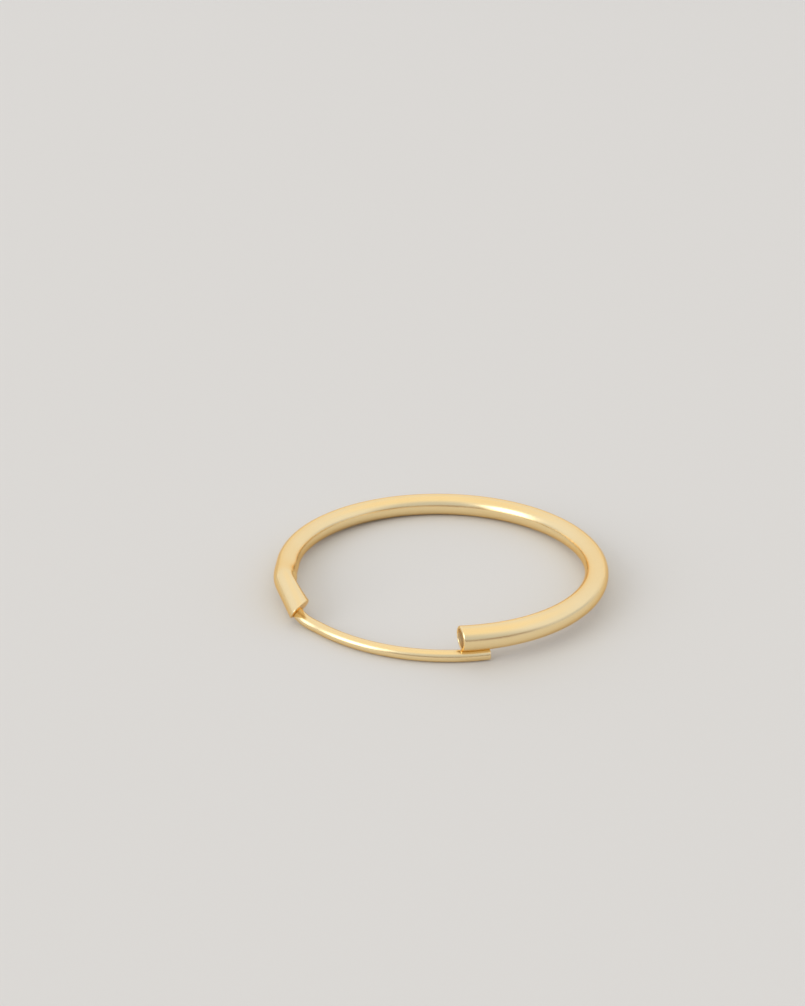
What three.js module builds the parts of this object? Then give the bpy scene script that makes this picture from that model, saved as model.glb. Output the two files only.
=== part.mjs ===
// Hoop earring of the endless kind, unfastened and lying on its side as it rests by itself.
//
// A thin-walled round tube is bent to most of a circle. One end is an open mouth. The other is kinked
// and crimped shut on a thin round post. The post follows the circle across the gap and fastens by
// springing into the mouth. Here it lies just under the mouth, so the hoop leans on it by two degrees.
//
// Millimetres, +Z up. The origin is the middle of the footprint, on the surface that the hoop lies on.
// Angles are degrees, counterclockwise from +X as seen from above.

import * as THREE from "three";

// Driving dimensions: the tube and the post
const HOOP_OUTER_DIAMETER = 18;
const TUBE_DIAMETER = 1.25;
const TUBE_WALL = 0.15;
const POST_DIAMETER = 0.6;
const CLEARANCE = 0.03; // kept between the post and the tube where they touch

// Where the tube starts and stops around the hoop
const MOUTH_ANGLE = 274.6;
const KINK_ANGLE = 194.5;

// Past the kink the tube runs straight, turned a little inwards and dipping towards the surface. It is
// crimped solid there. The kink presses its inner side in and bulges it outwards, up and down, and the
// section is round again by the end.
const CRIMPED_LENGTH = 2.6;
const CRIMPED_TURN = 5.6;
const CRIMPED_DIP = 9;
const CRIMPED_OUTWARDS = 0.17; // how far the kink shifts the tube's axis
const KINK_SPREAD = 5; // degrees of the circle over which the kink starts
const KINK_DENT = 0.3;
const KINK_BULGE = 1.17;

// Each end is cut at a slant: how far off square, and the side that is cut back, measured around the
// tube from the inside of the hoop, upwards positive
const MOUTH_CUT = { bevel: 11, facing: -170 };
const CRIMPED_CUT = { bevel: 46, facing: -40 };

// The free part of the post is an arc that lies flat on the surface
const POST_ARC_RADIUS = 9.16;
const POST_ARC_CENTRE = { x: 0.118, y: 0.764 };
const POST_TIP_ANGLE = 282.7;
const POST_LANDING_ANGLE = 226;
const POST_BEND_REACH = 0.4; // how far the bend holds its headings, as a share of its length

// The post's root sits in a hole in the crimped end. Its middle crosses the end face at an offset from
// the tube's axis, and its heading there is turned inwards, and up, from that of the straight stretch.
const ROOT_DEPTH = 0.3;
const EXIT = { inward: -0.1, above: -0.2 };
const EXIT_TURN = 14;
const EXIT_RISE = -8;
const EXIT_STRAIGHT = 0.1; // how far the post runs straight past the end face

// Mesh density
const TUBE_SIDES = 20;
const ARC_STEP = 5;
const POST_HALF_SIDES = 7;
const POST_STEPS = 34;

const TUBE_RADIUS = TUBE_DIAMETER / 2;
const BORE_RADIUS = TUBE_RADIUS - TUBE_WALL;
const POST_RADIUS = POST_DIAMETER / 2;
const HOOP_RADIUS = HOOP_OUTER_DIAMETER / 2 - TUBE_RADIUS;
const FULL_TURN = 360;
const UP = new THREE.Vector3(0, 0, 1);
const radians = THREE.MathUtils.degToRad;

const gold = { color: 0xe3bf7c, metalness: 1 };

// A point of the circle that the tube follows, in the plane of the hoop
function onHoop(angle) {
  const turn = radians(angle);
  return new THREE.Vector3(Math.cos(turn), Math.sin(turn), 0).multiplyScalar(HOOP_RADIUS);
}

// The direction of travel there, counterclockwise
function alongHoop(angle) {
  const turn = radians(angle);
  return new THREE.Vector3(-Math.sin(turn), Math.cos(turn), 0);
}

// The direction of the straight stretch past the kink, or one turned inwards and up from it
function alongCrimped(turn = 0, rise = 0) {
  const heading = alongHoop(KINK_ANGLE + CRIMPED_TURN + turn);
  const up = radians(rise - CRIMPED_DIP);
  return heading.multiplyScalar(Math.cos(up)).addScaledVector(UP, Math.sin(up));
}

// The two directions across the tube: towards the inside of the hoop, and up
function acrossTube(tangent) {
  const inward = new THREE.Vector3().crossVectors(UP, tangent).normalize();
  const above = new THREE.Vector3().crossVectors(tangent, inward);
  return { inward, above };
}

// The normal of a slanted cut through the tube
function cutNormal(tangent, cut, outwards) {
  const { inward, above } = acrossTube(tangent);
  const facing = radians(cut.facing);
  const slant = inward.multiplyScalar(Math.cos(facing)).addScaledVector(above, Math.sin(facing));
  const bevel = radians(cut.bevel);
  const normal = tangent.clone().multiplyScalar(outwards * Math.cos(bevel));
  return normal.addScaledVector(slant, Math.sin(bevel));
}

// The tube's round cross-sections, from the mouth to where the dent starts
function roundStations() {
  const sweep = FULL_TURN + KINK_ANGLE - KINK_SPREAD - MOUTH_ANGLE;
  const steps = Math.ceil(sweep / ARC_STEP);
  const stations = [];
  for (let i = 0; i <= steps; i += 1) {
    const angle = MOUTH_ANGLE + (sweep * i) / steps;
    stations.push({ centre: onHoop(angle), tangent: alongHoop(angle) });
  }
  stations[0].cut = cutNormal(stations[0].tangent, MOUTH_CUT, -1);
  return stations;
}

// The crimped cross-sections, at the kink and at the slanted end
function crimpedStations() {
  const straight = alongCrimped();
  const kink = onHoop(KINK_ANGLE).addScaledVector(acrossTube(straight).inward, -CRIMPED_OUTWARDS);
  const end = kink.clone().addScaledVector(straight, CRIMPED_LENGTH);
  const cut = cutNormal(straight, CRIMPED_CUT, 1);
  return [
    { centre: kink, tangent: straight, dent: KINK_DENT, bulge: KINK_BULGE },
    { centre: end, tangent: straight, cut },
  ];
}

// Where the post's middle crosses the end face, the face's normal, and the post's heading there
function postExit() {
  const { centre, tangent, cut } = crimpedStations()[1];
  const { inward, above } = acrossTube(tangent);
  const offset = inward.multiplyScalar(EXIT.inward).addScaledVector(above, EXIT.above);
  offset.addScaledVector(tangent, -cut.dot(offset) / cut.dot(tangent));
  const heading = alongCrimped(EXIT_TURN, EXIT_RISE);
  return { point: centre.clone().add(offset), normal: cut, heading };
}

// One ring of points around a station, dented, bulged and slid onto its cut where it has them
function stationRing({ centre, tangent, dent = 0, bulge = 1, cut }, radius) {
  const { inward, above } = acrossTube(tangent);
  const ring = [];
  for (let side = 0; side < TUBE_SIDES; side += 1) {
    const angle = (2 * Math.PI * side) / TUBE_SIDES;
    const offset = inward.clone().multiplyScalar(radius * Math.cos(angle));
    offset.addScaledVector(inward, -dent * Math.max(0, Math.cos(angle)));
    offset.addScaledVector(above, bulge * radius * Math.sin(angle));
    const slide = cut ? -cut.dot(offset) / cut.dot(tangent) : 0;
    ring.push(centre.clone().add(offset).addScaledVector(tangent, slide));
  }
  return ring;
}

// A band of triangles between two rings; its faces look along (from ring a to ring b) x (way round)
function addBand(triangles, a, b) {
  for (let side = 0; side < a.length; side += 1) {
    const next = (side + 1) % a.length;
    triangles.push(a[side], b[side], b[next], a[side], b[next], a[next]);
  }
}

// A flat cover over a ring; its face looks along the ring's right-handed axis
function addCap(triangles, ring) {
  for (let side = 1; side < ring.length - 1; side += 1) {
    triangles.push(ring[0], ring[side], ring[side + 1]);
  }
}

// The two rings of the hole in the crimped end: at its rim and at its floor
function holeRings() {
  const { point, normal, heading } = postExit();
  const radius = (POST_RADIUS + CLEARANCE) / Math.cos(Math.PI / TUBE_SIDES);
  const floor = point.clone().addScaledVector(heading, -ROOT_DEPTH - CLEARANCE);
  const rim = stationRing({ centre: point, tangent: heading, cut: normal }, radius);
  return [rim, stationRing({ centre: floor, tangent: heading }, radius)];
}

// The tube as one closed surface: the end of the bore, the bore, the mouth, the skin and the post's hole
function tubeGeometry() {
  const round = roundStations();
  const bore = round.map((station) => stationRing(station, BORE_RADIUS)).reverse();
  const skin = [...round, ...crimpedStations()].map((station) => stationRing(station, TUBE_RADIUS));
  const rings = [...bore, ...skin, ...holeRings()];
  const triangles = [];
  addCap(triangles, rings[0].toReversed());
  for (let i = 1; i < rings.length; i += 1) addBand(triangles, rings[i], rings[i - 1]);
  addCap(triangles, rings.at(-1));
  return new THREE.BufferGeometry().setFromPoints(triangles);
}

// How the hoop rests: its far side on the surface, its mouth on the post
function restingLean() {
  const rise = POST_DIAMETER + CLEARANCE;
  const reach = HOOP_RADIUS * (1 + Math.cos(radians(MOUTH_ANGLE - 270)));
  const lean = Math.asin(rise / reach);
  return { lean, height: TUBE_RADIUS + HOOP_RADIUS * Math.sin(lean) };
}

// The arc of the free post, as a curve from one angle to another
class PostArc extends THREE.Curve {
  constructor(startAngle, endAngle) {
    super();
    this.startAngle = radians(startAngle);
    this.endAngle = radians(endAngle);
  }

  getPoint(share, target = new THREE.Vector3()) {
    const angle = THREE.MathUtils.lerp(this.startAngle, this.endAngle, share);
    const x = POST_ARC_CENTRE.x + POST_ARC_RADIUS * Math.cos(angle);
    const y = POST_ARC_CENTRE.y + POST_ARC_RADIUS * Math.sin(angle);
    return target.set(x, y, POST_RADIUS);
  }
}

// A curve that leaves one point and reaches another on given headings
function softBend(start, startHeading, end, endHeading) {
  const reach = start.distanceTo(end) * POST_BEND_REACH;
  const leaving = start.clone().addScaledVector(startHeading, reach);
  const arriving = end.clone().addScaledVector(endHeading, -reach);
  return new THREE.CubicBezierCurve3(start, leaving, arriving, end);
}

// The post's route: straight out of its hole, a bend down to the surface, and the free arc
function postRoute(tubePose) {
  const { point, heading } = postExit();
  const root = point.clone().addScaledVector(heading, -ROOT_DEPTH).applyMatrix4(tubePose);
  const bend = point.clone().addScaledVector(heading, EXIT_STRAIGHT).applyMatrix4(tubePose);
  heading.transformDirection(tubePose);
  const arc = new PostArc(POST_LANDING_ANGLE, POST_TIP_ANGLE);
  const landing = arc.getPoint(0);
  const route = new THREE.CurvePath();
  route.add(new THREE.LineCurve3(root, bend));
  route.add(softBend(bend, heading, landing, alongHoop(POST_LANDING_ANGLE)));
  route.add(arc);
  return route;
}

function postGeometry(tubePose) {
  const section = new THREE.Shape().absarc(0, 0, POST_RADIUS, 0, 2 * Math.PI, false);
  return new THREE.ExtrudeGeometry(section, {
    curveSegments: POST_HALF_SIDES,
    steps: POST_STEPS,
    extrudePath: postRoute(tubePose),
  });
}

function makeTube() {
  const material = new THREE.MeshStandardMaterial({ ...gold, roughness: 0.22 });
  const tube = new THREE.Mesh(tubeGeometry(), material);
  tube.name = "hoop_tube";
  const { lean, height } = restingLean();
  tube.rotation.x = -lean;
  tube.position.z = height;
  tube.updateMatrix();
  return tube;
}

function makePost(tubePose) {
  const material = new THREE.MeshStandardMaterial({ ...gold, roughness: 0.18 });
  const post = new THREE.Mesh(postGeometry(tubePose), material);
  post.name = "ear_post";
  return post;
}

const earring = new THREE.Group();
const tube = makeTube();
earring.add(tube, makePost(tube.matrix));

// Put the origin at the middle of the footprint
const extent = new THREE.Box3().setFromObject(earring, true);
const middle = extent.getCenter(new THREE.Vector3());
earring.position.set(-middle.x, -middle.y, -extent.min.z);

export default earring;
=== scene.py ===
"""A plain gold hoop earring, unfastened and lying on its side on a pale surface.

The hoop is a thin-walled round tube bent to most of a circle. Its open mouth lies on the thin ear
post, which leaves the crimped end of the tube and follows the circle round. Both are swept solids:
this script works out a table of stations along each one, and a Geometry Nodes tree turns the table
into a closed skin.

Lengths are millimetres in the classes below and become metres as the meshes are made. Angles are
degrees, counterclockwise from +X as seen from above. Scales of noise are cells in a metre.
"""

import logging
import math
from dataclasses import dataclass, field
from enum import Enum

import bpy
from mathutils import Matrix, Vector
from mathutils.geometry import interpolate_bezier


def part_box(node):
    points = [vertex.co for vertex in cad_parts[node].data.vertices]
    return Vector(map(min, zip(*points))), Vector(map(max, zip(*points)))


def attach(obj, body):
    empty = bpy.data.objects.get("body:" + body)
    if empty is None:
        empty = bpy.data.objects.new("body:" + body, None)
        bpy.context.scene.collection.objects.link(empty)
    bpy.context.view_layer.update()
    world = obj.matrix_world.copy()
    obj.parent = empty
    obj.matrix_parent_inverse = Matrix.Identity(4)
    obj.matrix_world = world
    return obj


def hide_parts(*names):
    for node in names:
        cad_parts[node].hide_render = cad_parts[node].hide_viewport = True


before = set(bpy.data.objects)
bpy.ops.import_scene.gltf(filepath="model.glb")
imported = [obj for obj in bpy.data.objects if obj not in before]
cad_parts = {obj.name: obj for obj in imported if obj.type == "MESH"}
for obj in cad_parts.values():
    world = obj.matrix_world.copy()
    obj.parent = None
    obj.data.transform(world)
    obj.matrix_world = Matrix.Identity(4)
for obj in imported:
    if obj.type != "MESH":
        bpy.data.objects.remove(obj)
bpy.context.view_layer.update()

LOG = logging.getLogger("hoop_earring")
MM = 0.001
UP = Vector((0.0, 0.0, 1.0))
FULL_TURN = 360.0
TOWARDS_CAMERA = 270.0


class Body(Enum):
    """The bodies that a piece can ride on."""

    EARRING = "root"


class Slot(Enum):
    """The record's material slots."""

    TUBE = "gold_tube"
    POST = "gold_post"


# ---- building node trees


class NodeSheet:
    """Adds and links the nodes of one tree, so that a formula reads as one line."""

    # Which of the Mix node's sockets hold colours
    MIX_COLOURS = slice(6, 8)
    MIX_RESULT = 2

    def __init__(self, tree: bpy.types.NodeTree) -> None:
        """Starts on a tree.

        Args:
            tree: the node tree to fill.
        """
        self.tree = tree

    def add(self, kind: str, inputs: dict | None = None, **settings: object) -> bpy.types.Node:
        """Adds a node.

        Args:
            kind: the node's type name in Blender.
            inputs: what goes into each socket, by the socket's name or number: a socket or a value.
            settings: attributes of the node itself.

        Returns:
            The new node.
        """
        node = self.tree.nodes.new(kind)
        for name, value in settings.items():
            setattr(node, name, value)
        for key, value in (inputs or {}).items():
            self.feed(node.inputs[key], value)
        return node

    def feed(self, socket: bpy.types.NodeSocket, value: object) -> None:
        """Links a socket into another, or sets its value.

        Args:
            socket: the input to fill.
            value: an output socket, or a plain value.
        """
        if isinstance(value, bpy.types.NodeSocket):
            self.tree.links.new(value, socket)
        else:
            socket.default_value = value

    def mixed(self, share: object, first: object, second: object) -> bpy.types.NodeSocket:
        """Mixes two colours.

        Args:
            share: how much of the second, from 0 to 1.
            first: a colour or its socket.
            second: a colour or its socket.

        Returns:
            The mixed colour's socket.
        """
        node = self.add("ShaderNodeMix", {0: share}, data_type="RGBA")
        for socket, value in zip(node.inputs[self.MIX_COLOURS], (first, second)):
            self.feed(socket, (*value, 1.0) if isinstance(value, tuple) else value)
        return node.outputs[self.MIX_RESULT]


class ShapeSheet(NodeSheet):
    """A Geometry Nodes tree's sheet, with the sums that the sweep needs."""

    def sum(self, operation: str, *values: object) -> bpy.types.NodeSocket:
        """Works out a number.

        Args:
            operation: the Math node's operation.
            values: its inputs, in order.

        Returns:
            The result's socket.
        """
        node = self.add("ShaderNodeMath", dict(enumerate(values)), operation=operation)
        return node.outputs[0]

    def scaled(self, vector: object, factor: object) -> bpy.types.NodeSocket:
        """Scales a vector.

        Args:
            vector: the vector's socket.
            factor: a number or its socket.

        Returns:
            The scaled vector's socket.
        """
        inputs = {0: vector, "Scale": factor}
        return self.add("ShaderNodeVectorMath", inputs, operation="SCALE").outputs[0]

    def total(self, *vectors: object) -> bpy.types.NodeSocket:
        """Adds vectors up.

        Args:
            vectors: two or more vector sockets.

        Returns:
            The socket of their sum.
        """
        result = vectors[0]
        for vector in vectors[1:]:
            inputs = {0: result, 1: vector}
            result = self.add("ShaderNodeVectorMath", inputs, operation="ADD").outputs[0]
        return result

    def mark(self, geometry: object, name: str, value: object, kind: str, domain: str) -> object:
        """Stores a named attribute.

        Args:
            geometry: the geometry's socket.
            name: the attribute's name.
            value: what is stored.
            kind: the attribute's data type.
            domain: where it is stored, such as POINT.

        Returns:
            The socket of the geometry that holds it.
        """
        node = self.add("GeometryNodeStoreNamedAttribute", data_type=kind, domain=domain)
        self.feed(node.inputs["Geometry"], geometry)
        self.feed(node.inputs["Name"], name)
        self.feed(node.inputs["Value"], value)
        return node.outputs["Geometry"]


# ---- swept solids


@dataclass
class Station:
    """One ring of a swept solid: a centre, the directions across it, and how the ring is shaped.

    The ring's points lie at radius from the centre, or bulge times that upwards and downwards. They
    lean along the solid by lean_inward and lean_above of their offset, and dent presses them in on
    the inward side. Along is the distance from the start of the piece, burnish says how bright its
    polish is there, and shade says how rough the gold is and how much painted shade darkens it.
    """

    centre: Vector
    tangent: Vector
    inward: Vector
    above: Vector
    radius: float
    lean_inward: float = 0.0
    lean_above: float = 0.0
    dent: float = 0.0
    bulge: float = 1.0
    along: float = 0.0
    burnish: float = 0.0
    shade: float = 0.0


VECTOR_FIELDS = ("tangent", "inward", "above")
FORM_FIELDS = ("radius", "lean_inward", "lean_above", "dent", "bulge")
FINISH_FIELDS = ("along", "burnish", "shade")
NUMBER_FIELDS = FORM_FIELDS + FINISH_FIELDS
LENGTH_FIELDS = ("radius", "dent")


def smooth(share: float) -> float:
    """Eases a share from 0 to 1, and holds it beyond them."""
    share = min(max(share, 0.0), 1.0)
    return share * share * (3.0 - 2.0 * share)


def across(tangent: Vector) -> tuple[Vector, Vector]:
    """Finds the two directions across a path.

    Args:
        tangent: the path's direction.

    Returns:
        The direction towards the inside of the hoop, and the one upwards.
    """
    inward = UP.cross(tangent).normalized()
    return inward, tangent.cross(inward)


class StationTable:
    """The stations of one swept solid: a mesh of points, with a named attribute for each field."""

    def __init__(self, name: str, stations: list[Station]) -> None:
        """Makes the table's mesh.

        Args:
            name: the piece's name.
            stations: its rings, in order along the skin.
        """
        mesh = bpy.data.meshes.new(name + "_stations")
        mesh.from_pydata([station.centre * MM for station in stations], [], [])
        for key in VECTOR_FIELDS:
            values = [number for station in stations for number in getattr(station, key)]
            mesh.attributes.new(key, "FLOAT_VECTOR", "POINT").data.foreach_set("vector", values)
        for key in NUMBER_FIELDS:
            unit = MM if key in LENGTH_FIELDS else 1.0
            values = [getattr(station, key) * unit for station in stations]
            mesh.attributes.new(key, "FLOAT", "POINT").data.foreach_set("value", values)
        self.name = name
        self.count = len(stations)
        self.mesh = mesh


class SweepTree:
    """The Geometry Nodes tree that turns a table of stations into a closed skin."""

    INPUTS = (
        ("Sides", "NodeSocketInt"),
        ("Rings", "NodeSocketInt"),
        ("Dent Width", "NodeSocketFloat"),
        ("Waviness", "NodeSocketFloat"),
        ("Waves per Metre", "NodeSocketFloat"),
        ("Seed", "NodeSocketInt"),
        ("Material", "NodeSocketMaterial"),
    )
    WELD = 1e-7
    WAVE_DETAIL = 1.0

    def __init__(self) -> None:
        """Builds the tree."""
        self.tree = bpy.data.node_groups.new("swept_skin", "GeometryNodeTree")
        sockets = self.tree.interface
        sockets.new_socket("Stations", in_out="INPUT", socket_type="NodeSocketGeometry")
        for name, kind in self.INPUTS:
            sockets.new_socket(name, in_out="INPUT", socket_type=kind)
        sockets.new_socket("Skin", in_out="OUTPUT", socket_type="NodeSocketGeometry")
        self.sheet = ShapeSheet(self.tree)
        self.given = self.sheet.add("NodeGroupInput").outputs
        self._build()

    def _station(self, key: str, index: object) -> bpy.types.NodeSocket:
        """Reads one field of the station that a point belongs to.

        Args:
            key: the field's name.
            index: the station's number.

        Returns:
            The field's socket.
        """
        kind = "FLOAT_VECTOR" if key in VECTOR_FIELDS else "FLOAT"
        named = self.sheet.add("GeometryNodeInputNamedAttribute", {"Name": key}, data_type=kind)
        return self._sampled(named.outputs["Attribute"], kind, index)

    def _sampled(self, value: object, kind: str, index: object) -> bpy.types.NodeSocket:
        """Samples a value on the stations.

        Args:
            value: the value, read on the stations.
            kind: its data type.
            index: the station's number.

        Returns:
            The sampled value's socket.
        """
        node = self.sheet.add("GeometryNodeSampleIndex", data_type=kind, domain="POINT", clamp=True)
        self.sheet.feed(node.inputs["Geometry"], self.given["Stations"])
        self.sheet.feed(node.inputs["Value"], value)
        self.sheet.feed(node.inputs["Index"], index)
        return node.outputs["Value"]

    def _wave(self, radius: object, centre: object, outward: object) -> bpy.types.NodeSocket:
        """Works out the slight unevenness that a drawn and hand-finished tube has.

        Args:
            radius: the ring's radius.
            centre: the ring's centre.
            outward: the direction away from it.

        Returns:
            The height of the wave there.
        """
        sheet = self.sheet
        place = sheet.total(centre, sheet.scaled(outward, radius))
        inputs = {"Vector": place, "W": self.given["Seed"], "Detail": self.WAVE_DETAIL}
        inputs["Scale"] = self.given["Waves per Metre"]
        noise = sheet.add("ShaderNodeTexNoise", inputs, noise_dimensions="4D").outputs[0]
        centred = sheet.sum("SUBTRACT", noise, 0.5)
        height = sheet.sum("MULTIPLY", centred, self.given["Waviness"])
        is_open = sheet.sum("GREATER_THAN", radius, self.WELD)
        return sheet.sum("MULTIPLY", height, is_open)

    def _build(self) -> None:
        """Lays the nodes out: a grid of rings by sides, each point moved to its place on a ring."""
        sheet, given = self.sheet, self.given
        columns = sheet.sum("ADD", given["Sides"], 1.0)
        inputs = {"Vertices X": given["Rings"], "Vertices Y": columns}
        grid = sheet.add("GeometryNodeMeshGrid", inputs).outputs["Mesh"]
        index = sheet.add("GeometryNodeInputIndex").outputs[0]
        ring = sheet.sum("FLOOR", sheet.sum("DIVIDE", sheet.sum("ADD", index, 0.5), columns))
        side = sheet.sum("SUBTRACT", index, sheet.sum("MULTIPLY", ring, columns))
        size = sheet.add("GeometryNodeAttributeDomainSize", {"Geometry": given["Stations"]})
        station = sheet.sum("MODULO", ring, size.outputs["Point Count"])

        share = sheet.sum("DIVIDE", side, given["Sides"])
        turn = sheet.sum("MULTIPLY", share, -2.0 * math.pi)
        cosine, sine = sheet.sum("COSINE", turn), sheet.sum("SINE", turn)
        numbers = {key: self._station(key, station) for key in NUMBER_FIELDS}
        tangent, inward, above = (self._station(key, station) for key in VECTOR_FIELDS)
        place = sheet.add("GeometryNodeInputPosition").outputs[0]
        centre = self._sampled(place, "FLOAT_VECTOR", station)

        upright = sheet.sum("MULTIPLY", sine, numbers["bulge"])
        outward = sheet.total(sheet.scaled(inward, cosine), sheet.scaled(above, upright))
        reach = sheet.sum("ADD", numbers["radius"], self._wave(numbers["radius"], centre, outward))
        lean = sheet.sum(
            "ADD",
            sheet.sum("MULTIPLY", numbers["lean_inward"], cosine),
            sheet.sum("MULTIPLY", numbers["lean_above"], sine),
        )
        slide = sheet.sum("MULTIPLY", lean, reach)
        facing = sheet.sum("POWER", sheet.sum("MAXIMUM", cosine, 0.0), given["Dent Width"])
        press = sheet.sum("MULTIPLY", sheet.sum("MULTIPLY", facing, numbers["dent"]), -1.0)
        point = sheet.total(
            centre,
            sheet.scaled(outward, reach),
            sheet.scaled(tangent, slide),
            sheet.scaled(inward, press),
        )

        inputs = {"Geometry": grid, "Position": point}
        skin = sheet.add("GeometryNodeSetPosition", inputs).outputs[0]
        for key in FINISH_FIELDS:
            skin = sheet.mark(skin, key, numbers[key], "FLOAT", "POINT")
        skin = sheet.mark(skin, "around", share, "FLOAT", "POINT")
        skin = self._unwrap(skin)
        inputs = {"Geometry": skin, "Distance": self.WELD}
        skin = sheet.add("GeometryNodeMergeByDistance", inputs).outputs[0]
        skin = sheet.add("GeometryNodeSetShadeSmooth", {"Geometry": skin}).outputs[0]
        skin = sheet.add("GeometryNodeRealizeInstances", {"Geometry": skin}).outputs[0]
        inputs = {"Geometry": skin, "Material": given["Material"]}
        skin = sheet.add("GeometryNodeSetMaterial", inputs).outputs[0]
        sheet.add("NodeGroupOutput", {"Skin": skin})

    def _unwrap(self, skin: object) -> object:
        """Gives the skin a UV map: length along the piece by share of the way round.

        Args:
            skin: the skin's socket, before its seam is merged.

        Returns:
            The socket of the skin with the map.
        """
        sheet = self.sheet
        inputs = {}
        for axis, key in (("X", "along"), ("Y", "around")):
            named = sheet.add("GeometryNodeInputNamedAttribute", {"Name": key}, data_type="FLOAT")
            inputs[axis] = named.outputs[0]
        pair = sheet.add("ShaderNodeCombineXYZ", inputs).outputs[0]
        return sheet.mark(skin, "UVMap", pair, "FLOAT2", "CORNER")

    def sweep(self, table: StationTable, inputs: dict[str, object]) -> bpy.types.Object:
        """Makes a piece from a table.

        Args:
            table: the piece's stations.
            inputs: the tree's inputs, by name.

        Returns:
            The finished piece, a plain mesh object at the origin.
        """
        carrier = bpy.data.objects.new(table.name + "_sweep", table.mesh)
        bpy.context.scene.collection.objects.link(carrier)
        modifier = carrier.modifiers.new("sweep", "NODES")
        modifier.node_group = self.tree
        for item in self.tree.interface.items_tree:
            if item.in_out == "INPUT" and item.name in inputs:
                modifier[item.identifier] = inputs[item.name]
        bpy.context.view_layer.update()
        evaluated = carrier.evaluated_get(bpy.context.evaluated_depsgraph_get())
        mesh = bpy.data.meshes.new_from_object(evaluated)
        carrier.modifiers.remove(modifier)
        bpy.data.objects.remove(carrier)
        mesh.name = table.name
        piece = bpy.data.objects.new(table.name, mesh)
        bpy.context.scene.collection.objects.link(piece)
        return piece


# ---- the gold


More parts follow.
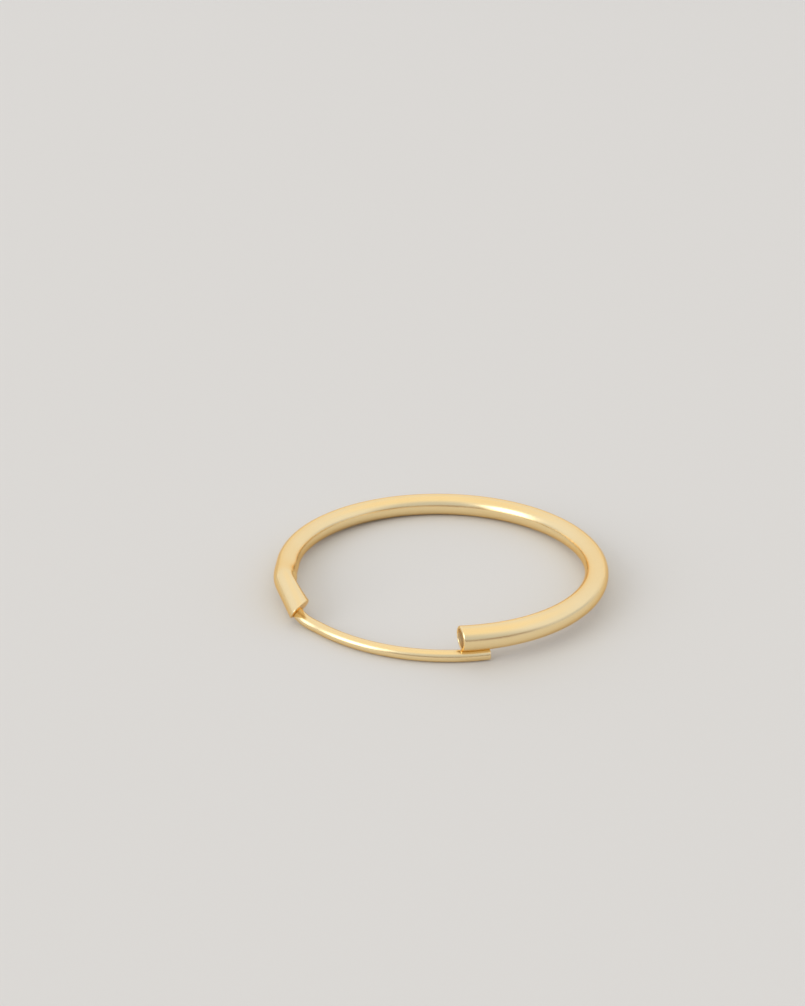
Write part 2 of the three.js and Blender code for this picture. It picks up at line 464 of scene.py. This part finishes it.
@dataclass(frozen=True)
class PolishedGold:
    """Yellow gold with a soft hand polish: fine lines along it, burnished rims, and a rougher bore
    whose colour is darkened with painted shade.
    """

    name: str
    colour: tuple[float, float, float] = (0.98, 0.79, 0.46)
    deep_colour: tuple[float, float, float] = (0.96, 0.74, 0.39)
    # Painted shade: the darker gold mixed in inside the bore and the post's hole
    painted_shade_colour: tuple[float, float, float] = (0.88, 0.66, 0.36)
    edge_tint: tuple[float, float, float] = (1.0, 0.76, 0.46)
    patch_scale: float = 420.0
    patch_detail: float = 2.0
    roughness: float = 0.17
    roughness_range: float = 0.10
    smear_scale: float = 900.0
    smear_detail: float = 4.0
    wear_range: tuple[float, float] = (0.12, 0.40)
    bore_dullness: float = 0.25
    rim_gloss: float = 0.05
    line_stretch: tuple[float, float, float] = (0.3, 45.0, 1.0)
    line_detail: float = 3.0
    line_depth: float = 0.0020
    pit_scale: float = 2600.0
    pit_reach: float = 0.12
    pit_depth: float = 0.0015

    def material(self) -> bpy.types.Material:
        """Makes the material.

        Returns:
            The node material.
        """
        material = bpy.data.materials.new(self.name)
        material.use_nodes = True
        material.node_tree.nodes.clear()
        sheet = NodeSheet(material.node_tree)
        place = sheet.add("ShaderNodeTexCoord").outputs["Object"]
        lines, pits = self._polish_lines(sheet), self._pits(sheet, place)
        shader = sheet.add("ShaderNodeBsdfPrincipled")
        shader.inputs["Metallic"].default_value = 1.0
        shader.inputs["Specular Tint"].default_value = (*self.edge_tint, 1.0)
        sheet.feed(shader.inputs["Base Color"], self._colour(sheet, place))
        sheet.feed(shader.inputs["Roughness"], self._roughness(sheet, place, lines))
        sheet.feed(shader.inputs["Normal"], self._relief(sheet, lines, pits))
        sheet.add("ShaderNodeOutputMaterial", {"Surface": shader.outputs["BSDF"]})
        return material

    def _attribute(self, sheet: NodeSheet, name: str) -> bpy.types.NodeSocket:
        """Reads a number stored on the piece.

        Args:
            sheet: the material's sheet.
            name: the attribute's name.

        Returns:
            Its socket.
        """
        return sheet.add("ShaderNodeAttribute", attribute_name=name).outputs["Fac"]

    def _noise(self, sheet: NodeSheet, place: object, scale: float, detail: float) -> object:
        """Adds a noise.

        Args:
            sheet: the material's sheet.
            place: the coordinates.
            scale: cells in one unit of the coordinates.
            detail: how many finer layers it has.

        Returns:
            The noise's socket, from 0 to 1.
        """
        inputs = {"Vector": place, "Scale": scale, "Detail": detail}
        return sheet.add("ShaderNodeTexNoise", inputs).outputs[0]

    def _polish_lines(self, sheet: NodeSheet) -> bpy.types.NodeSocket:
        """Draws the fine lines that polishing leaves along the piece.

        Args:
            sheet: the material's sheet.

        Returns:
            Their height, from 0 to 1.
        """
        unwrapped = sheet.add("ShaderNodeUVMap", uv_map="UVMap").outputs[0]
        stretch = sheet.add("ShaderNodeMapping", {"Vector": unwrapped, "Scale": self.line_stretch})
        return self._noise(sheet, stretch.outputs[0], 1.0, self.line_detail)

    def _pits(self, sheet: NodeSheet, place: object) -> bpy.types.NodeSocket:
        """Draws the small dents of wear.

        Args:
            sheet: the material's sheet.
            place: Object coordinates.

        Returns:
            Their depth, from 0 to 1.
        """
        cells = sheet.add("ShaderNodeTexVoronoi", {"Vector": place, "Scale": self.pit_scale})
        inputs = {"Value": cells.outputs["Distance"], "From Min": 0.0, "From Max": self.pit_reach}
        inputs.update({"To Min": 1.0, "To Max": 0.0})
        return sheet.add("ShaderNodeMapRange", inputs).outputs[0]

    def _colour(self, sheet: NodeSheet, place: object) -> bpy.types.NodeSocket:
        """Varies the gold a little over the piece, and darkens it with painted shade inside the
        bore and the post's hole.

        Args:
            sheet: the material's sheet.
            place: Object coordinates.

        Returns:
            The colour's socket.
        """
        patches = self._noise(sheet, place, self.patch_scale, self.patch_detail)
        gold = sheet.mixed(patches, self.colour, self.deep_colour)
        # Painted shade: the gold turns darker where the shade attribute is 1, in the bore and the
        # hole
        return sheet.mixed(self._attribute(sheet, "shade"), gold, self.painted_shade_colour)

    def _roughness(self, sheet: NodeSheet, place: object, lines: object) -> bpy.types.NodeSocket:
        """Makes the polish uneven: finer on the rims, coarser in the bore and where it is worn.

        Args:
            sheet: the material's sheet.
            place: Object coordinates.
            lines: the polishing lines.

        Returns:
            The roughness's socket.
        """
        smears = self._noise(sheet, place, self.smear_scale, self.smear_detail)
        wear = sheet.add("ShaderNodeMath", {0: smears, 1: lines}, operation="MULTIPLY").outputs[0]
        inputs = {"Value": wear, "From Min": self.wear_range[0], "From Max": self.wear_range[1]}
        inputs.update({"To Min": self.roughness, "To Max": self.roughness + self.roughness_range})
        polish = sheet.add("ShaderNodeMapRange", inputs).outputs[0]
        dull = {0: self._attribute(sheet, "shade"), 1: self.bore_dullness, 2: polish}
        duller = sheet.add("ShaderNodeMath", dull, operation="MULTIPLY_ADD").outputs[0]
        bright = {0: self._attribute(sheet, "burnish"), 1: -self.rim_gloss, 2: duller}
        return sheet.add("ShaderNodeMath", bright, operation="MULTIPLY_ADD").outputs[0]

    def _relief(self, sheet: NodeSheet, lines: object, pits: object) -> bpy.types.NodeSocket:
        """Turns the polishing lines and the pits into bump.

        Args:
            sheet: the material's sheet.
            lines: the lines' height.
            pits: the pits' depth.

        Returns:
            The normal's socket.
        """
        drawn = sheet.add("ShaderNodeBump", {"Distance": self.line_depth * MM, "Height": lines})
        inputs = {"Distance": self.pit_depth * MM, "Height": pits, "Normal": drawn.outputs[0]}
        return sheet.add("ShaderNodeBump", inputs, invert=True).outputs[0]


# ---- what both pieces share


def rounded(radius: float, edge: float, turn: float) -> tuple[float, float]:
    """Finds a point of a rounded edge, where a wall turns into a flat end.

    Args:
        radius: the wall's radius.
        edge: the radius of the rounding, added to a hole's wall, or negative for a solid's.
        turn: how far round the edge the point lies, from 0 at the wall to half pi at the end.

    Returns:
        The point's radius, and how far short of the end it lies.
    """
    return radius + edge * (1.0 - math.cos(turn)), abs(edge) * (1.0 - math.sin(turn))


def quarter_turns(steps: int, first: int = 0) -> list[float]:
    """Divides a quarter turn up, for the points of a rounded edge.

    Args:
        steps: how many steps it takes.
        first: the first step that is listed.

    Returns:
        The turns, in radians, up to half pi.
    """
    return [0.5 * math.pi * i / steps for i in range(first, steps + 1)]


@dataclass(frozen=True)
class SlantedCut:
    """An end of the tube, cut at a slant: how far off square, and the side that is cut back."""

    bevel: float
    facing: float

    def normal(self, tangent: Vector, outwards: int) -> Vector:
        """Works out the cut's normal.

        Args:
            tangent: the tube's direction at the cut.
            outwards: 1 where that direction leaves the tube, -1 where it enters.

        Returns:
            The unit normal, out of the tube.
        """
        inward, above = across(tangent)
        bevel, facing = math.radians(self.bevel), math.radians(self.facing)
        slant = inward * math.cos(facing) + above * math.sin(facing)
        return tangent * (outwards * math.cos(bevel)) + slant * math.sin(bevel)


def leans(tangent: Vector, normal: Vector) -> tuple[float, float]:
    """Works out how a ring leans so that it lies in a plane.

    Args:
        tangent: the direction of the solid that the ring belongs to.
        normal: the plane's normal.

    Returns:
        The lean for an offset inwards, and for one upwards.
    """
    inward, above = across(tangent)
    return -normal.dot(inward) / normal.dot(tangent), -normal.dot(above) / normal.dot(tangent)


@dataclass
class HoopPlane:
    """The tilted plane that the tube's circle lies in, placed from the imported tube's box.

    The rise is what lifts the mouth: the post that it lies on and the gap between them.
    """

    outer_diameter: float = 18.0
    tube_diameter: float = 1.25
    mouth_angle: float = 274.6
    kink_angle: float = 194.5
    rise: float = 0.63
    placed: Matrix = field(init=False)

    def __post_init__(self) -> None:
        """Works out where the plane lies in the frame."""
        low, high = (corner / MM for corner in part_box("hoop_tube"))
        past_front = math.radians(self.mouth_angle - TOWARDS_CAMERA)
        reach = self.radius * (1.0 + math.cos(past_front))
        lean = math.asin(self.rise / reach)
        far_side = self.radius * math.cos(lean) + self.tube_diameter / 2.0
        height = self.tube_diameter / 2.0 + self.radius * math.sin(lean)
        middle = Vector(((low.x + high.x) / 2.0, high.y - far_side, low.z + height))
        self.placed = Matrix.Translation(middle) @ Matrix.Rotation(-lean, 4, "X")

    @property
    def radius(self) -> float:
        """The radius of the circle that the tube's middle follows."""
        return (self.outer_diameter - self.tube_diameter) / 2.0

    def point(self, angle: float) -> Vector:
        """The point of the circle at an angle."""
        turn = math.radians(angle)
        return Vector((math.cos(turn), math.sin(turn), 0.0)) * self.radius

    def heading(self, angle: float) -> Vector:
        """The direction of travel there, counterclockwise."""
        turn = math.radians(angle)
        return Vector((-math.sin(turn), math.cos(turn), 0.0))

    def place(self, station: Station) -> Station:
        """Moves a station from the plane to the frame.

        Args:
            station: a station whose vectors are in the plane.

        Returns:
            The same station, moved.
        """
        station.centre = self.placed @ station.centre
        turned = self.placed.to_3x3()
        station.tangent = turned @ station.tangent
        station.inward = turned @ station.inward
        station.above = turned @ station.above
        return station


@dataclass(kw_only=True)
class SweptPiece:
    """A piece that is swept from stations: its names, its fineness and its slight waviness."""

    plane: HoopPlane
    name: str
    node: str
    slot: Slot
    sides: int
    dent_width: float = 1.0
    waviness: float
    waves_per_metre: float
    seed: int

    def stations(self) -> list[Station]:
        """Lists the rings of the closed skin, in order."""
        raise NotImplementedError

    def build(self, tree: SweepTree, finish: PolishedGold) -> bpy.types.Object:
        """Sweeps the piece, hangs it on the earring and reports it.

        Args:
            tree: the sweep.
            finish: the piece's gold.

        Returns:
            The finished piece.
        """
        table = StationTable(self.name, self.stations())
        inputs = {
            "Sides": self.sides,
            "Rings": table.count,
            "Dent Width": self.dent_width,
            "Waviness": self.waviness * MM,
            "Waves per Metre": self.waves_per_metre,
            "Seed": self.seed,
            "Material": finish.material(),
        }
        piece = tree.sweep(table, inputs)
        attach(piece, Body.EARRING.value)
        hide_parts(self.node)
        faces = len(piece.data.polygons)
        LOG.info("%s stands for %s, with %d faces", piece.name, self.node, faces)
        return piece


# ---- the tube


@dataclass(kw_only=True)
class HoopTube(SweptPiece):
    """The tube: round from its mouth to the kink, then straight and crimped to its slanted end.

    The fold is measured along the tube from the kink. The post's exit is given by its offset from
    the tube's middle line, and by how far it is turned inwards and dips from that.
    """

    name: str = "hoop_tube_gold"
    node: str = "hoop_tube"
    slot: Slot = Slot.TUBE
    wall: float = 0.15
    crimped_length: float = 2.6
    crimped_turn: float = 5.6
    crimped_dip: float = 9.0
    crimped_outwards: float = 0.17
    kink_spread: float = 2.2
    fold_from: float = -0.6
    fold_to: float = 0.36
    bend_spread: float = 0.5
    kink_dent: float = 0.32
    kink_bulge: float = 1.17
    dent_width: float = 1.8
    mouth_cut: SlantedCut = SlantedCut(11.0, -170.0)
    crimped_cut: SlantedCut = SlantedCut(46.0, -40.0)
    cut_spread: float = 1.6
    rim_round: float = 0.1
    lip_round: float = 0.04
    end_round: float = 0.08
    hole_lip: float = 0.012
    face_margin: float = 0.01
    bore_stop: float = 0.73
    exit_inward: float = -0.1
    exit_above: float = -0.2
    exit_turn: float = 14.0
    exit_dip: float = 8.0
    hole_radius: float = 0.315
    hole_depth: float = 0.33
    sides: int = 96
    skin_step: float = 0.12
    bore_step: float = 0.5
    rim_steps: int = 7
    hole_rings: int = 4
    waviness: float = 0.012
    waves_per_metre: float = 450.0
    seed: int = 3

    @property
    def radius(self) -> float:
        """The tube's outer radius."""
        return self.plane.tube_diameter / 2.0

    @property
    def bore_radius(self) -> float:
        """The bore's radius."""
        return self.radius - self.wall

    @property
    def arc_length(self) -> float:
        """The length of the round stretch, from the mouth to the kink."""
        sweep = FULL_TURN + self.plane.kink_angle - self.plane.mouth_angle
        return math.radians(sweep) * self.plane.radius

    @property
    def length(self) -> float:
        """The length of the tube's middle line."""
        return self.arc_length + self.crimped_length

    def straight(self, turn: float = 0.0, dip: float = 0.0) -> Vector:
        """Finds the direction of the straight stretch past the kink, or one turned from it.

        Args:
            turn: how far it is turned inwards, in degrees.
            dip: how much more it dips, in degrees.

        Returns:
            The direction, in the hoop's plane.
        """
        heading = self.plane.heading(self.plane.kink_angle + self.crimped_turn + turn)
        down = math.radians(self.crimped_dip + dip)
        return heading * math.cos(down) - UP * math.sin(down)

    def _middle(self, along: float) -> tuple[Vector, Vector]:
        """Finds a point of the tube's middle line.

        Args:
            along: the distance from the mouth.

        Returns:
            The point and the line's direction there.
        """
        past_kink = along - self.arc_length
        if past_kink > 0.0:
            heading, outwards = self.straight(), 1.0
            point = self.plane.point(self.plane.kink_angle) + heading * past_kink
            before = self.plane.heading(self.plane.kink_angle)
        else:
            angle = self.plane.mouth_angle + math.degrees(along / self.plane.radius)
            point, heading = self.plane.point(angle), self.plane.heading(angle)
            before, outwards = heading, smooth(1.0 + past_kink / self.kink_spread)
        point = point - across(heading)[0] * (self.crimped_outwards * outwards)
        bent = smooth(0.5 + 0.5 * past_kink / self.bend_spread)
        return point, before.lerp(self.straight(), bent).normalized()

    def _pinch(self, along: float, start: float, full: float) -> float:
        """Works out how far the tube is pinched.

        Args:
            along: the distance from the mouth.
            start: where the pinch sets in, measured from the kink.
            full: where it is reached.

        Returns:
            The share of the full pinch: it sets in slowly, and fades out to the end of the tube.
        """
        past_kink = along - self.arc_length
        fading = 1.0 - max(past_kink, 0.0) / self.crimped_length
        return smooth((past_kink - start) / (full - start)) ** 2 * fading

    def exit(self) -> tuple[Vector, Vector, Vector]:
        """Finds where the post leaves the end face, in the hoop's plane.

        Returns:
            The point, the face's normal and the post's direction.
        """
        centre, tangent = self._middle(self.length)
        inward, above = across(tangent)
        normal = self.crimped_cut.normal(tangent, 1)
        offset = inward * self.exit_inward + above * self.exit_above
        offset -= tangent * (normal.dot(offset) / normal.dot(tangent))
        return centre + offset, normal, self.straight(self.exit_turn, self.exit_dip)

    def _station(self, along: float, radius: float, **marks: float) -> Station:
        """Makes the ring at one distance from the mouth.

        Args:
            along: the distance.
            radius: the ring's radius.
            marks: the station's other fields.

        Returns:
            The station, in the frame.
        """
        centre, tangent = self._middle(along)
        inward, above = across(tangent)
        mouth = leans(tangent, self.mouth_cut.normal(tangent, -1))
        end = leans(tangent, self.crimped_cut.normal(tangent, 1))
        near_mouth = max(0.0, 1.0 - along / self.cut_spread)
        near_end = max(0.0, 1.0 - (self.length - along) / self.cut_spread)
        station = Station(centre, tangent, inward, above, radius, along=along, **marks)
        station.lean_inward = mouth[0] * near_mouth + end[0] * near_end
        station.lean_above = mouth[1] * near_mouth + end[1] * near_end
        station.dent = self.kink_dent * self._pinch(along, self.fold_from, self.fold_to)
        bulging = self._pinch(along, -self.kink_spread, 0.0)
        station.bulge = 1.0 + (self.kink_bulge - 1.0) * bulging
        return self.plane.place(station)

    def _stretch(
        self, radius: float, start: float, end: float, step: float, shade: float
    ) -> list[Station]:
        """Makes the rings of one stretch of wall.

        Args:
            radius: the wall's radius.
            start: where it starts, measured from the mouth.
            end: where it ends.
            step: the greatest distance between two rings.
            shade: how rough the wall is and how much painted shade darkens it.

        Returns:
            The stations.
        """
        run = end - start
        count = math.ceil(run / step)
        places = [start + run * i / count for i in range(count + 1)]
        return [self._station(along, radius, shade=shade) for along in places]

    def _bore(self) -> list[Station]:
        """Lists the rings of the bore, from the middle of its closed end to the mouth."""
        end = self.arc_length - self.bore_stop
        # The bore gets the full painted shade: darker gold as well as rougher
        bore = self._stretch(self.bore_radius, self.lip_round, end, self.bore_step, shade=1.0)
        return [self._station(end, 0.0, shade=1.0)] + bore[::-1]

    def _mouth_rim(self) -> list[Station]:
        """Rounds the mouth's rim over, from the bore to the skin."""
        turns = quarter_turns(self.rim_steps, first=1)
        outer = [rounded(self.radius, -self.rim_round, turn) for turn in turns]
        inner = [rounded(self.bore_radius, self.lip_round, turn) for turn in turns[:-1]]
        return [self._station(inset, radius, burnish=1.0) for radius, inset in inner + outer[::-1]]

    def _end_face(self) -> list[Station]:
        """Lists the rings of the closed end: its rounded edge, and the start of its flat face."""
        turns = quarter_turns(self.rim_steps, first=1)
        profile = [rounded(self.radius, -self.end_round, turn) for turn in turns]
        profile.append((self.radius - self.end_round - self.face_margin, 0.0))
        end = self.length
        return [self._station(end - inset, radius, burnish=1.0) for radius, inset in profile]

    def _hole(self) -> list[Station]:
        """Lists the rings of the post's hole, from its rounded lip to the middle of its floor."""
        point, normal, heading = self.exit()
        inward, above = across(heading)
        lean_inward, lean_above = leans(heading, normal)
        turns = quarter_turns(self.rim_steps)
        profile = [(self.hole_radius + self.hole_lip + self.face_margin, 0.0)]
        profile += [rounded(self.hole_radius, self.hole_lip, turn) for turn in reversed(turns)]
        wall = self.hole_depth - self.hole_lip
        profile += [
            (self.hole_radius, self.hole_lip + wall * (i + 1) / self.hole_rings)
            for i in range(self.hole_rings)
        ]
        profile.append((0.0, self.hole_depth))
        stations = []
        for radius, depth in profile:
            flat = max(0.0, 1.0 - depth / self.hole_depth)
            station = Station(point - heading * depth, heading, inward, above, radius)
            station.lean_inward, station.lean_above = lean_inward * flat, lean_above * flat
            station.along = self.length + depth
            # Painted shade: the hole's wall darkens and roughens with depth as flat falls to 0
            station.burnish, station.shade = flat, 1.0 - flat
            stations.append(self.plane.place(station))
        return stations

    def stations(self) -> list[Station]:
        """Lists the rings of the closed skin: bore, mouth, outside, end face and the post's hole.

        Returns:
            The stations, in order.
        """
        end = self.length - self.end_round
        skin = self._stretch(self.radius, self.rim_round, end, self.skin_step, shade=0.0)
        return self._bore() + self._mouth_rim() + skin + self._end_face() + self._hole()


# ---- the post


@dataclass(kw_only=True)
class EarPost(SweptPiece):
    """The thin post: its root in the crimped end, a soft bend down, and an arc that lies flat.

    The arc's centre is measured from that of the tube's circle. The bend holds its two headings for
    a share of the distance that it spans, which is its reach.
    """

    tube: HoopTube
    name: str = "ear_post_gold"
    node: str = "ear_post"
    slot: Slot = Slot.POST
    diameter: float = 0.6
    arc_radius: float = 9.16
    arc_centre: tuple[float, float] = (0.118, 0.764)
    tip_angle: float = 282.7
    landing_angle: float = 226.0
    root_depth: float = 0.3
    exit_straight: float = 0.1
    bend_reach: float = 0.4
    end_round: float = 0.05
    sides: int = 64
    step: float = 0.12
    root_steps: int = 4
    bend_steps: int = 24
    round_steps: int = 5
    cap_rings: int = 3
    end_burnish: float = 0.6
    waviness: float = 0.006
    waves_per_metre: float = 700.0
    seed: int = 8

    @property
    def radius(self) -> float:
        """The post's radius."""
        return self.diameter / 2.0

    def _arc_point(self, angle: float) -> Vector:
        """The point of the flat arc at an angle round the arc's own centre."""
        turn = math.radians(angle)
        middle = self.plane.placed.translation
        offset = Vector((math.cos(turn), math.sin(turn), 0.0)) * self.arc_radius
        across_x, across_y = self.arc_centre
        return Vector((middle.x + across_x, middle.y + across_y, self.radius)) + offset

    def route(self) -> list[Vector]:
        """Lists the points of the post's middle line.

        Returns:
            The points, from the root to the tip.
        """
        leaving, _, heading = self.tube.exit()
        root = self.plane.placed @ (leaving - heading * self.root_depth)
        free = self.plane.placed @ (leaving + heading * self.exit_straight)
        heading = self.plane.placed.to_3x3() @ heading
        landing = self._arc_point(self.landing_angle)
        reach = (landing - free).length * self.bend_reach
        arriving = landing - self.plane.heading(self.landing_angle) * reach
        bend = interpolate_bezier(free, free + heading * reach, arriving, landing, self.bend_steps)
        sweep = self.tip_angle - self.landing_angle
        steps = math.ceil(math.radians(sweep) * self.arc_radius / self.step)
        angles = [self.landing_angle + sweep * (i + 1) / steps for i in range(steps)]
        straight = [root.lerp(free, i / self.root_steps) for i in range(self.root_steps)]
        return straight + bend + [self._arc_point(angle) for angle in angles]

    def _end(self, point: Vector, tangent: Vector, outwards: int) -> list[Station]:
        """Closes one end with a flat face and a rounded edge.

        Args:
            point: the middle of the end face.
            tangent: the post's direction there.
            outwards: 1 at the tip, -1 at the root.

        Returns:
            The stations, from the side of the post to the middle of the face.
        """
        inward, above = across(tangent)
        turns = quarter_turns(self.round_steps)
        outline = [rounded(self.radius, -self.end_round, turn) for turn in turns]
        face = self.radius - self.end_round
        outline += [(face * (1.0 - (i + 1) / self.cap_rings), 0.0) for i in range(self.cap_rings)]
        stations = []
        for radius, inset in outline:
            centre = point - tangent * outwards * inset
            station = Station(centre, tangent, inward, above, radius, burnish=self.end_burnish)
            stations.append(station)
        return stations

    def stations(self) -> list[Station]:
        """Lists the rings of the post, from the middle of one end face to the middle of the other.

        Returns:
            The stations, in order.
        """
        points = self.route()
        tangents = [(b - a).normalized() for a, b in zip(points, points[1:])]
        along, middle = 0.0, []
        for i in range(1, len(points) - 1):
            along += (points[i] - points[i - 1]).length
            tangent = (tangents[i - 1] + tangents[i]).normalized()
            inward, above = across(tangent)
            middle.append(Station(points[i], tangent, inward, above, self.radius, along=along))
        root = self._end(points[0], tangents[0], -1)
        tip = self._end(points[-1], tangents[-1], 1)
        for station in tip:
            station.along = along
        return root[::-1] + middle + tip


# ---- the studio


@dataclass
class SoftBox:
    """A large soft lamp, given by where it stands and what it faces."""

    name: str
    place: tuple[float, float, float]
    aim: tuple[float, float, float]
    size: tuple[float, float]
    power: float

    def build(self) -> None:
        """Makes the lamp. The camera doesn't see it."""
        lamp = bpy.data.lights.new(self.name, "AREA")
        lamp.shape = "RECTANGLE"
        lamp.size, lamp.size_y = (side * MM for side in self.size)
        lamp.energy = self.power
        holder = bpy.data.objects.new(self.name, lamp)
        place, aim = Vector(self.place) * MM, Vector(self.aim) * MM
        holder.location = place
        holder.rotation_euler = (aim - place).to_track_quat("-Z", "Y").to_euler()
        holder.visible_camera = False
        bpy.context.scene.collection.objects.link(holder)
        LOG.info("%s stands in the studio", self.name)


@dataclass
class Studio:
    """The pale surface, the soft light and the camera.

    A range of the room says where a colour starts and where it is full, by the height of a
    direction, from -1 to 1, or by how much the direction faces the dim side.
    """

    camera_place: tuple[float, float, float] = (-2.1234, -61.0107, 33.078)
    camera_pitch: float = -25.032
    lens: float = 45.23
    sensor_width: float = 36.0
    clip_range: tuple[float, float] = (1.0, 10000.0)
    window_place: tuple[float, float, float] = (-3985.0, -2300.0, 1955.0)
    window_size: tuple[float, float] = (2400.0, 2800.0)
    window_power: float = 42.5
    glow_size: tuple[float, float] = (3800.0, 3800.0)
    glow_power: float = 45.0
    floor_size: float = 1600.0
    floor_colour: tuple[float, float, float] = (0.72, 0.71, 0.69)
    floor_roughness: float = 0.85
    floor_specular: float = 0.1
    backdrop_colour: tuple[float, float, float] = (0.69, 0.68, 0.66)
    ceiling_colour: tuple[float, float, float] = (0.97, 0.90, 0.77)
    ceiling_range: tuple[float, float] = (0.55, 0.95)
    wall_colour: tuple[float, float, float] = (0.88, 0.90, 0.97)
    dim_side: tuple[float, float, float] = (0.10, -0.995, 0.0)
    dim_colour: tuple[float, float, float] = (0.62, 0.67, 0.76)
    dim_range: tuple[float, float] = (0.35, 0.85)
    low_range: tuple[float, float] = (0.34, 0.08)
    low_side_colour: tuple[float, float, float] = (0.58, 0.63, 0.75)
    side_range: tuple[float, float] = (-0.80, 0.0)
    low_dim_colour: tuple[float, float, float] = (0.30, 0.22, 0.18)

    def build(self) -> None:
        """Makes everything round the earring."""
        self._floor()
        self._world()
        self._camera()
        bpy.context.scene.view_settings.view_transform = "Standard"
        for lamp in self._lamps():
            lamp.build()

    def _lamps(self) -> list[SoftBox]:
        """The lamps: a large soft window, low at the front left, and a fainter glow round it."""
        place, aim = self.window_place, (0.0, 0.0, 0.0)
        return [
            SoftBox("window_softbox", place, aim, self.window_size, self.window_power),
            SoftBox("window_glow", place, aim, self.glow_size, self.glow_power),
        ]

    def _floor(self) -> None:
        """Makes the plain pale surface."""
        half = self.floor_size * MM / 2.0
        corners = [(-half, -half, 0.0), (half, -half, 0.0), (half, half, 0.0), (-half, half, 0.0)]
        mesh = bpy.data.meshes.new("floor")
        mesh.from_pydata(corners, [], [(0, 1, 2, 3)])
        floor = bpy.data.objects.new("floor", mesh)
        bpy.context.scene.collection.objects.link(floor)
        material = bpy.data.materials.new("pale_surface")
        material.use_nodes = True
        shader = material.node_tree.nodes["Principled BSDF"]
        shader.inputs["Base Color"].default_value = (*self.floor_colour, 1.0)
        shader.inputs["Roughness"].default_value = self.floor_roughness
        shader.inputs["Specular IOR Level"].default_value = self.floor_specular
        mesh.materials.append(material)

    def _world(self) -> None:
        """Makes the room: a warm ceiling over cooler walls that are darker low down.

        It is dim on the camera's side. The camera itself sees a plain pale backdrop.
        """
        world = bpy.data.worlds.new("studio_room")
        world.use_nodes = True
        world.node_tree.nodes.clear()
        sheet = NodeSheet(world.node_tree)
        direction = sheet.add("ShaderNodeTexCoord").outputs["Generated"]
        height = sheet.add("ShaderNodeSeparateXYZ", {0: direction}).outputs["Z"]
        inputs = {0: direction, 1: self.dim_side}
        turned = sheet.add("ShaderNodeVectorMath", inputs, operation="DOT_PRODUCT")
        facing = turned.outputs["Value"]
        above = self._eased(sheet, height, self.ceiling_range)
        low = self._eased(sheet, height, self.low_range)
        behind = self._eased(sheet, facing, self.dim_range)
        aside = self._eased(sheet, facing, self.side_range)
        low_aside, low_behind = (
            sheet.add("ShaderNodeMath", {0: low, 1: share}, operation="MULTIPLY").outputs[0]
            for share in (aside, behind)
        )
        room = sheet.mixed(above, self.wall_colour, self.ceiling_colour)
        room = sheet.mixed(low_aside, room, self.low_side_colour)
        room = sheet.mixed(behind, room, self.dim_colour)
        room = sheet.mixed(low_behind, room, self.low_dim_colour)
        seen = sheet.add("ShaderNodeLightPath").outputs["Is Camera Ray"]
        room = sheet.mixed(seen, room, self.backdrop_colour)
        light = sheet.add("ShaderNodeBackground", {"Color": room})
        sheet.add("ShaderNodeOutputWorld", {"Surface": light.outputs[0]})
        bpy.context.scene.world = world

    def _eased(self, sheet: NodeSheet, value: object, limits: tuple[float, float]) -> object:
        """Eases a value from 0 at one limit to 1 at the other.

        Args:
            sheet: the world's sheet.
            value: the value's socket.
            limits: where it is 0 and where it is 1.

        Returns:
            The eased value's socket.
        """
        inputs = {"Value": value, "From Min": limits[0], "From Max": limits[1]}
        return sheet.add("ShaderNodeMapRange", inputs, interpolation_type="SMOOTHSTEP").outputs[0]

    def _camera(self) -> None:
        """Sets the camera up, looking along +Y and down at the earring."""
        lens = bpy.data.cameras.new("camera")
        lens.lens = self.lens
        lens.sensor_width = self.sensor_width
        lens.clip_start, lens.clip_end = (reach * MM for reach in self.clip_range)
        camera = bpy.data.objects.new("camera", lens)
        camera.location = Vector(self.camera_place) * MM
        camera.rotation_euler = (math.radians(90.0 + self.camera_pitch), 0.0, 0.0)
        bpy.context.scene.collection.objects.link(camera)
        bpy.context.scene.camera = camera


def main() -> None:
    """Builds the earring and its studio."""
    logging.basicConfig(level=logging.INFO, format="%(name)s: %(message)s")
    tree = SweepTree()
    tube = HoopTube(plane=HoopPlane())
    tube.build(tree, PolishedGold("polished_gold_tube"))
    EarPost(plane=tube.plane, tube=tube).build(tree, PolishedGold("polished_gold_post"))
    Studio().build()


if __name__ == "__main__":
    main()
